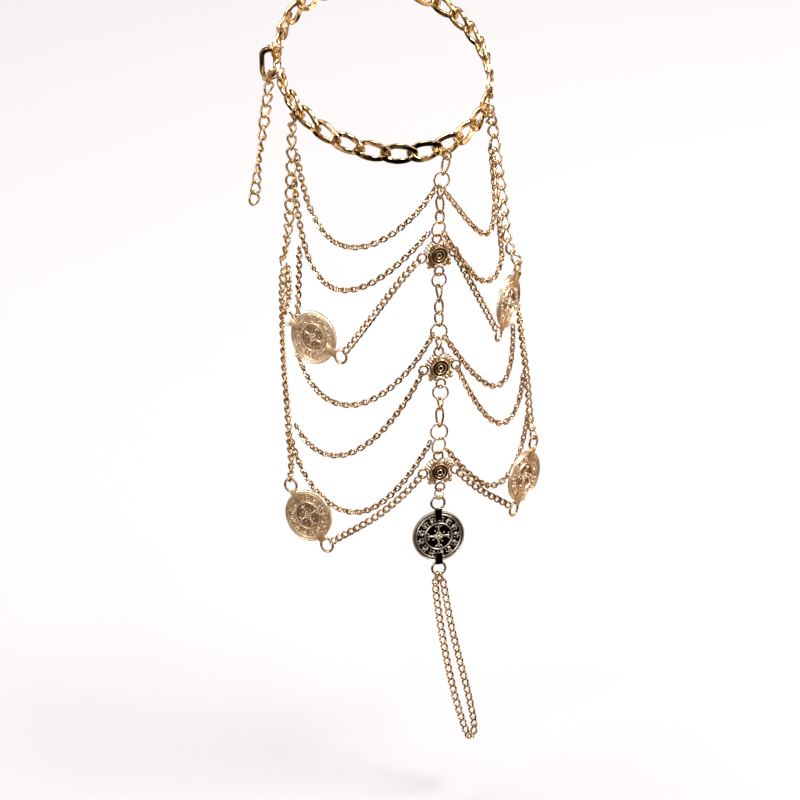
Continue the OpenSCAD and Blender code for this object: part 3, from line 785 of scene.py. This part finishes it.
def toned_by_relief(name, dark, mid, pale, rough, grain, depth, spread):
    """Metal darker in its recesses and paler on its raised parts, with a cast grain. This tone
    from the relief is painted shade and painted highlight, except on the antique coin, whose black
    recesses are its patina.
    """
    material, tree, shader, place = new_material(name)
    relief = tree.nodes.new("ShaderNodeAttribute")
    relief.attribute_name = "relief"
    speck = noise(tree, place, grain, 4)
    mixed = tree.nodes.new("ShaderNodeMath")
    mixed.operation = "MULTIPLY_ADD"
    mixed.inputs[1].default_value = 0.9
    tree.links.new(speck, mixed.inputs[0])
    tree.links.new(relief.outputs["Fac"], mixed.inputs[2])
    # Painted shade in the recesses and painted highlight on the raised parts, from the relief
    # (patina on the antique coin)
    level = ranged(tree, mixed.outputs[0], *spread, 0, 1)
    tone = ramp(tree, level, [(0.05, dark), (0.42, mid), (0.8, pale)])
    tree.links.new(tone, shader.inputs["Base Color"])
    tree.links.new(ranged(tree, level, 0, 1, rough[1], rough[0]), shader.inputs["Roughness"])
    bump(tree, shader, speck, depth, 0.00016)
    return material


gold = polished(
    "polished_gold", (0.46, 0.29, 0.15), (0.76, 0.55, 0.33), (0.95, 0.79, 0.56),
    (0.05, 0.15), 0.25)
curb_gold = polished(
    "curb_gold", (0.66, 0.44, 0.2), (0.86, 0.64, 0.36), (0.95, 0.78, 0.52), (0.04, 0.11), 0.12)
# Side coins: the darker recesses and paler raised parts are painted shade and painted highlight
satin = toned_by_relief(
    "satin_gold", (0.36, 0.2, 0.11), (0.93, 0.67, 0.45), (1, 0.9, 0.74),
    (0.28, 0.4), 1500, 1, (0.4, 1.15))
antique = toned_by_relief(
    "antique_silver_gold", (0.008, 0.007, 0.006), (0.3, 0.25, 0.2), (0.98, 0.91, 0.81),
    (0.34, 0.42), 1900, 0.6, (0.75, 1.25))
# Medallion centres: the paler raised rings are painted highlight and the blacker grooves painted
# shade, over the centre's own dark colour
bezel_dark = toned_by_relief(
    "bezel_dark", (0.035, 0.02, 0.014), (0.24, 0.15, 0.1), (0.88, 0.7, 0.5),
    (0.26, 0.34), 900, 0.2, (0.7, 1.35))
satin_plain = polished(
    "satin_bar", (0.6, 0.4, 0.2), (0.8, 0.58, 0.34), (0.92, 0.74, 0.5), (0.3, 0.5), 0.3)
pale_metal = polished(
    "pale_metal", (0.3, 0.22, 0.14), (0.62, 0.5, 0.36), (0.88, 0.78, 0.62), (0.08, 0.22), 0.2)
bar_dark = polished(
    "bar_black", (0.012, 0.011, 0.011), (0.03, 0.027, 0.025), (0.09, 0.075, 0.06),
    (0.12, 0.3), 0.15)


# Ankle chain

def curb_link():
    """A link whose wire is filed flat on its front and back all the way round."""
    model = link_model(
        FINE_CURB_WIRE, CURB_HEIGHT, FINE_CURB_PITCH, FINE_CURB_SIDES, FINE_CURB_WIRE_SIDES,
        twist=100, depth=0.5, gap=0.1, fullness=0.42)
    vertices = model.data.vertices
    for start in range(0, len(vertices), FINE_CURB_WIRE_SIDES):
        ring = [vertices[start + k] for k in range(FINE_CURB_WIRE_SIDES)]
        middle = sum(v.co.z for v in ring) / FINE_CURB_WIRE_SIDES
        for v in ring:
            v.co.z = min(max(v.co.z, middle - FILED_HALF), middle + FILED_HALF)
    return model


ankle_chain = chain_of(curb_link(), curb_frames, FINE_CURB_PITCH, "curb_ankle_chain")
gilded(ankle_chain, curb_gold, "ankle_chain", smooth=28)


# Jump rings: each is a wire ring with the fine slit where it was closed

def ring_model(radius):
    piece = torus(radius, RING_WIRE, 56, 12)
    bpy.context.tool_settings.mesh_select_mode = (False, False, True)
    with editing(piece):
        bpy.ops.mesh.select_all(action="DESELECT")
    for face in piece.data.polygons:
        angle = math.degrees(math.atan2(face.center.y, face.center.x)) % 360
        face.select = abs(angle - SLIT_ANGLE) < SLIT_HALF
    bpy.ops.object.mode_set(mode="EDIT")
    bpy.ops.mesh.delete(type="FACE")
    bpy.ops.mesh.select_all(action="SELECT")
    bpy.ops.mesh.fill_holes(sides=0)
    bpy.ops.object.mode_set(mode="OBJECT")
    return piece


def jump_ring(name, place, radius, node):
    piece = ring_model(radius)
    piece.data.transform(matrix_of(place))
    piece.name = "jump_ring_" + name
    gilded(piece, gold, node)


for name, link in (("centre", CENTRE_LINK), ("left", LEFT_LINK), ("right", RIGHT_LINK)):
    jump_ring(name, hang_frame(link), HANG_RING_R, name + "_ring")
jump_ring("link", link_ring, LINK_RING_R, "left_link_ring")

low_medal, low_coin = medal_frame(2), coin_frame(0)
coin_ring_top = medal_loop(2, 0, -1) - low_medal[2] * (MEDAL_LOOP_R - LOOP_HOLD)
coin_ring_low = coin_eye(0, 1) + low_coin[2] * (EYELET_R - EYELET_HOLD)
toe_ring_top = coin_eye(0, -1) - low_coin[2] * (EYELET_R - EYELET_HOLD)
toe_ring_low = toe_ring_top - low_coin[2] * TOE_RING_LENGTH
for name, top, low, way in (
        ("clasp", at(clasp_frame, *CLASP_EYE), at(curb_frames[-1], *LAST_LINK_HOLD),
         vec(*CLASP_RING_WAY)),
        ("hook", claw_hold, ring_low, hook_way),
        ("extension", at(curb_frames[0], *FIRST_LINK_HOLD), extension_ring_low,
         vec(*EXTENSION_RING_WAY)),
        ("coin", coin_ring_top, coin_ring_low, low_medal[3] + low_medal[1] * RING_TURN),
        ("toe", toe_ring_top, toe_ring_low, low_coin[3] + low_coin[1] * RING_TURN)):
    jump_ring(name, *ring_between(top, low, way), name + "_ring")


# Clasp: the CAD's own shapes with their edges rounded

def rounded(node, width, body):
    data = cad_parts[node].data.copy()
    data.transform(Matrix.Scale(1 / MM, 4))
    piece = in_scene("lobster_" + node, data)
    with editing(piece):
        bpy.ops.mesh.remove_doubles(threshold=0.002)
        bpy.ops.mesh.dissolve_limited(angle_limit=math.radians(1))
    bevelled(piece, "rounded_edge", width, 40)
    piece.data.transform(Matrix.Scale(MM, 4))
    gilded(piece, curb_gold, node, body, 40)


rounded("clasp_body", 0.35, "anklet")
rounded("clasp_lever", 0.14, "lever")

# Extension chain
extension_top = ring_low - clasp_down * (RING_WIRE / 2 + CHAIN_GAP / 2)
extension_way = unit(vec(*EXTENSION_WAY))
extension_frames = link_frames(
    [extension_top + extension_way * EXTENSION_PITCH * i for i in range(EXTENSION_COUNT + 1)],
    (clasp_down.cross(hook_way), None), vec(*EXTENSION_FACING), hand=-1, rolls=EXTENSION_ROLLS)
extension_link = link_model(*WIDE[:2], EXTENSION_PITCH, 22, 8, twist=80, depth=-1)
extension = chain_of(extension_link, extension_frames, EXTENSION_PITCH, "extension_links")
gilded(extension, gold, "extension_chain")


# Side chains

def strand(name, a, rows, b, size, node, out=None):
    wire, width, pitch = size
    path = path_between(a, rows, b)
    joints = spaced(path, 0, 0, round(length_of(path) / pitch))
    frames = link_frames(joints, (a[1], b[1]), out)
    gilded(chain_of(link_model(wire, width, pitch, 18, 8), frames, pitch, name), gold, node)


strand("left_column_links", hanging_end(LEFT_LINK), LEFT_ROWS, link_ring_end, WIDE,
       "left_column", vec(*LEFT_FACING))
strand("left_coin_links", link_ring_end, LEFT_COIN_ROWS, coin_end(1, 1), SIDE,
       "left_coin_strand")
strand("right_column_links", hanging_end(RIGHT_LINK), RIGHT_ROWS, coin_end(3, 1), WIDE,
       "right_column", vec(*RIGHT_FACING))
strand("left_strand_links", link_ring_end, LEFT_STRAND_ROWS, coin_end(2, 1), SIDE,
       "left_strand")
strand("right_strand_links", coin_end(3, 1), RIGHT_STRAND_ROWS, coin_end(4, 1), SIDE,
       "right_strand")


# Centre chains

def mixed_chain(name, a, rows, b, plan, node):
    """A chain of long links and jump rings, as the plan says."""
    wire, width, pitch = CENTRE
    path = path_between(a, rows, b)
    whole, total = length_of(path), sum(part[1] for part in plan)
    model = link_model(wire, width, pitch, 20, 8, twist=60)
    parts, gone = [], 0
    for kind, share, roll in plan:
        step = whole * share / total
        joints = spaced(path, gone, whole - gone - step, 1)
        gone += step
        f = link_frames(joints, rolls=(roll,))[0]
        if kind == "link":
            parts.append(copy_of(model, matrix_of(f, f[4] / pitch)))
        else:
            ring = ring_model((f[4] + RING_WIRE) / 2)
            ring.data.transform(matrix_of(f))
            parts.append(ring)
    discard(model)
    gilded(joined(parts, name), gold, node)


centre_parts = {
    "top": (hanging_end(CENTRE_LINK), CENTRE_ROWS, medal_end(0, 1)),
    "middle": (medal_end(0, -1), [], medal_end(1, 1)),
    "low": (medal_end(1, -1), [], medal_end(2, 1)),
}
for part, (a, rows, b) in centre_parts.items():
    mixed_chain("centre_links_" + part, a, rows, b, CENTRE_PLANS[part], "centre_chain_" + part)


# Hanging chains

def fine_chain(node, path, size, trims, twist=TWIST, rolls=(0,), sides=12):
    wire, width, pitch = size
    count = round((length_of(path) - sum(trims)) / pitch)
    frames = link_frames(spaced(path, *trims, count), rolls=rolls)
    model = link_model(wire, width, pitch, sides, 6, twist)
    gilded(chain_of(model, frames, pitch, node + "_links"), gold, node)


def ease(t):
    u = min(max(t, 0), 1)
    return u * u * (3 - 2 * u)


def swag_path(row, a=None, b=None, steps=40):
    """The curve of a hanging chain, moved so that it meets the places a and b if given."""
    h0, a0, h1, a1, sag, skew, lift, centre_lift = row[:8]
    bare = []
    for i in range(steps + 1):
        t = i / steps
        depth = h0 + (h1 - h0) * t + 4 * sag * t * (1 - t) * (1 + skew * (1 - 2 * t))
        height = lift + (centre_lift - lift) * ease(4 * t - 2)
        bare.append(skin(depth, a0 + (a1 - a0) * t, height))
    first = vec(0, 0, 0) if a is None else a - bare[0]
    last = vec(0, 0, 0) if b is None else b - bare[-1]
    return [p + first * (1 - i / steps) + last * (i / steps) for i, p in enumerate(bare)]


for k, row in enumerate(SWAGS):
    side, hand = ("left", -1) if k < SWAGS_A_SIDE else ("right", 1)
    number = k % SWAGS_A_SIDE + 1
    path = swag_path(row, None, medal_loop(1, hand, 0) if number == MEDAL_SWAG else None)
    if k in CLIMBS:
        path = through(skin_path(CLIMBS[k]) + path[CLIMB_SKIP[k]:], 3)
    fine_chain(
        f"swag_{side}_{number}", path, SWAG, row[8:], twist=SWAG_TWIST, rolls=SWAG_ROLLS)

for medal, hand, coin, sag, skew in COIN_CHAINS:
    m, c = MEDALS[medal], COINS[coin]
    row = (m[0], m[1], c[2], c[3], sag, skew, COIN_CHAIN_LIFT, COIN_CHAIN_LIFT)
    path = swag_path(row, medal_loop(medal, hand, 0), coin_eye(coin, -1))
    fine_chain(
        COIN_NODES[coin].replace("coin_", "coin_chain_"), path, COIN_CHAIN,
        (MEDAL_LOOP_R - COIN_CHAIN_HOLD, EYELET_R - COIN_CHAIN_HOLD), sides=14)


def toe_point(h, x):
    half_w = row_value(FORM, 1, h) + TOE_LIFT
    return skin(h, math.degrees(math.asin(x / half_w)), TOE_LIFT)


toe_points = [toe_point(*row) for row in TOE_ROWS]
fine_chain("toe_loop", through([toe_points[-1], *toe_points], 5), TOE, (0, 0), sides=14)


# Relief runs from 0 in the recesses to 1 on the highest parts. The relief-toned materials paint
# shade in the recesses and highlight on the raised parts from it, and on the antique coin its
# patina.

def mark_relief(piece, low, high, back):
    values = piece.data.attributes.new("relief", "FLOAT", "POINT")
    for v, slot in zip(piece.data.vertices, values.data):
        slot.value = back if v.co.z < 0 else min(max((v.co.z - low) / (high - low), 0), 1)


def turned_all(parts, q):
    for part in parts:
        part.data.transform(turn(q))
    return parts


# Medallion: a turned bezel between four loops, with ribbed scrolls above and beads below

def medallion_model():
    parts = [turned(BEZEL_PROFILE, "bezel")]
    for q in range(0, 360, 90):
        loop = torus(MEDAL_LOOP_R, MEDAL_WIRE, 32, 10)
        loop.data.transform(turn(q) @ shift(MEDAL_REACH, 0))
        parts.append(loop)
    for q in (45, 135):
        for s in (-1.5, -0.5, 0.5, 1.5):
            rib = wire_along(RIB_WAY, RIB_WIRE, False, 8)
            parts += turned_all([rib], q + RIB_SPACING * s)
    for q in (225, 315):
        for x, y, r in MEDAL_BEADS:
            parts += turned_all([bead(x, y, 0.15, (r, r, r), rings=8, segments=12)], q)
    piece = joined(parts, "medallion")
    mark_relief(piece, 0.5, 1.4, 0.6)
    dressed(piece, gold, bezel_dark)
    for face in piece.data.polygons:
        c = face.center
        inside = math.hypot(c.x, c.y) < BEZEL_R and c.z > 0.3
        face.material_index = 1 if inside else 0
    return piece


medallion = medallion_model()
for i, node in enumerate(("medallion_top", "medallion_middle", "medallion_low")):
    piece = laid(medallion, [matrix_of(medal_frame(i))], node + "_detail")
    finished(piece, node, smooth=45)
discard(medallion)


# Coin: two rims, a band of scrolls, leaves and beads, and an inner ring with petals and a rosette

def coin_model():
    parts = [turned(COIN_PROFILE, "disc", 96)]
    for k in range(BAND_COUNT):
        scroll = wire_along([(x, y, BAND_Z) for x, y in SCROLL_WAY], SCROLL_WIRE, False, 8)
        beads = [bead(x, y, BAND_Z, size, q) for x, y, size, q in BAND_BEADS]
        parts += turned_all([scroll, *beads], k * 360 / BAND_COUNT)
    for k in range(4):
        parts += turned_all([bead(x, y, ARM_Z, size, q) for x, y, size, q in ARM_BEADS], k * 90)
    for k in range(8):
        parts += turned_all([bead(1.05, 0, 0.36, (0.55, 0.32, 0.44))], k * 45 + 22.5)
    parts.append(bead(0, 0, 0.42, (0.5, 0.5, 0.5)))
    piece = joined(parts, "coin")
    mark_relief(piece, 0.24, 0.68, 0.55)
    return piece


def coin_bar(y):
    """The flat clip that holds an end ring, lying across the coin's rim on its front, with the
    ring.
    """
    width, length, thickness = CLIP_SIZE
    middle = y * (COIN_REACH - EYELET_R + CLIP_OVERLAP - length / 2)
    bpy.ops.mesh.primitive_cube_add(size=1)
    bar = bpy.context.object
    bar.data.transform(
        shift(0, middle, CLIP_Z) @ Matrix.Diagonal((width, length, thickness, 1)))
    bevelled(bar, "soft_edge", 0.16)
    eye = torus(EYELET_R, EYELET_WIRE, 48, 12)
    eye.data.transform(shift(0, y * COIN_REACH))
    piece = joined([bar, eye], "bar")
    # Nothing lies below these levels, so the whole clip counts as raised
    mark_relief(piece, -2, -1, 1)
    return piece


coin = coin_model()
bars = joined([coin_bar(1), coin_bar(-1)], "bars")
# The wide front faces of the clips
fronts = [f.index for f in bars.data.polygons if f.normal.z > 0.99 and f.area > 2]
for i, node in enumerate(COIN_NODES):
    place = matrix_of(coin_frame(i))
    face, clip = copy_of(coin, place), copy_of(bars, place)
    dressed(face, satin if i else antique)
    dressed(clip, *((gold, satin_plain) if i else (pale_metal, bar_dark)))
    for index in fronts:
        clip.data.polygons[index].material_index = 1
    piece = joined([face, clip], node + "_struck")
    finished(piece, node, smooth=45)
discard(coin)
discard(bars)


# Floor, light and camera

def floor():
    bpy.ops.mesh.primitive_plane_add(size=FLOOR_SIZE, location=FLOOR_PLACE)
    ground = bpy.context.object
    ground.name = "floor"
    material = bpy.data.materials.new("pale_floor")
    material.use_nodes = True
    shader = material.node_tree.nodes["Principled BSDF"]
    shader.inputs["Base Color"].default_value = FLOOR_COLOUR
    shader.inputs["Roughness"].default_value = 0.8
    shader.inputs["Specular IOR Level"].default_value = 0.1
    ground.data.materials.append(material)
    ground.visible_glossy = False
    ground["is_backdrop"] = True


def soft_light(name, place, size, watts, colour):
    data = bpy.data.lights.new(name, "AREA")
    data.shape = "RECTANGLE"
    data.size, data.size_y = size
    data.energy = watts
    data.color = colour
    light = in_scene(name, data)
    light.location = place
    light.rotation_mode = "QUATERNION"
    light.rotation_quaternion = (vec(*LIGHT_AIM) - vec(*place)).to_track_quat("-Z", "Y")


def studio_world():
    """Pale where the camera looks straight at it. Reflections see a dim room over a warm floor."""
    world = bpy.data.worlds.new("studio")
    world.use_nodes = True
    tree = world.node_tree
    way = tree.nodes.new("ShaderNodeTexCoord").outputs["Generated"]
    parts = tree.nodes.new("ShaderNodeSeparateXYZ")
    tree.links.new(way, parts.inputs["Vector"])
    right, up = parts.outputs["X"], parts.outputs["Z"]
    shade = ramp(tree, ranged(tree, up, -1, 1, 0, 1), ROOM_STOPS)

    # The room is dark in a broad window in front, and has bright panels and a glow at the right
    front = tree.nodes.new("ShaderNodeVectorMath")
    front.operation = "DOT_PRODUCT"
    front.inputs[1].default_value = FRONT_WAY
    tree.links.new(way, front.inputs[0])
    aside = ranged(tree, front.outputs["Value"], 0.84, 0.66, 0, 1)
    above = ranged(tree, up, 0.3, 0.42, 0, 1)
    below = ranged(tree, up, -0.4, -0.3, 1, 0)
    level = combined(tree, "ADD", above, below)
    outside = combined(tree, "ADD", aside, level, clamp=True)
    open_part = ranged(tree, outside, 0, 1, 0.03, 1)
    panels = ranged(tree, noise(tree, way, 3.2, 1), 0.45, 0.56, 0.08, 2.1)
    glow = ranged(tree, right, 0.4, 0.85, 0.85, 2.8)
    strength = combined(
        tree, "MULTIPLY", combined(tree, "MULTIPLY", open_part, panels), glow)
    room = tree.nodes["Background"]
    tree.links.new(shade, room.inputs["Color"])
    tree.links.new(strength, room.inputs["Strength"])

    seen = tree.nodes.new("ShaderNodeBackground")
    seen.inputs["Color"].default_value = BACKDROP_COLOUR
    path = tree.nodes.new("ShaderNodeLightPath")
    mix = tree.nodes.new("ShaderNodeMixShader")
    tree.links.new(path.outputs["Is Camera Ray"], mix.inputs["Fac"])
    tree.links.new(room.outputs["Background"], mix.inputs[1])
    tree.links.new(seen.outputs["Background"], mix.inputs[2])
    tree.links.new(mix.outputs["Shader"], tree.nodes["World Output"].inputs["Surface"])
    bpy.context.scene.world = world


floor()
studio_world()
for light in LIGHTS:
    soft_light(*light)
bpy.context.scene.view_settings.view_transform = "Standard"

camera_data = bpy.data.cameras.new("camera")
camera_data.lens = CAMERA_LENS
camera_data.sensor_width = 36
camera_data.clip_start = 0.05
camera_data.clip_end = 20
camera = in_scene("camera", camera_data)
camera.location = CAMERA_PLACE
camera.rotation_mode = "QUATERNION"
camera.rotation_quaternion = vec(*CAMERA_WAY).to_track_quat("-Z", "Y")
bpy.context.scene.camera = camera

low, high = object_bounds()
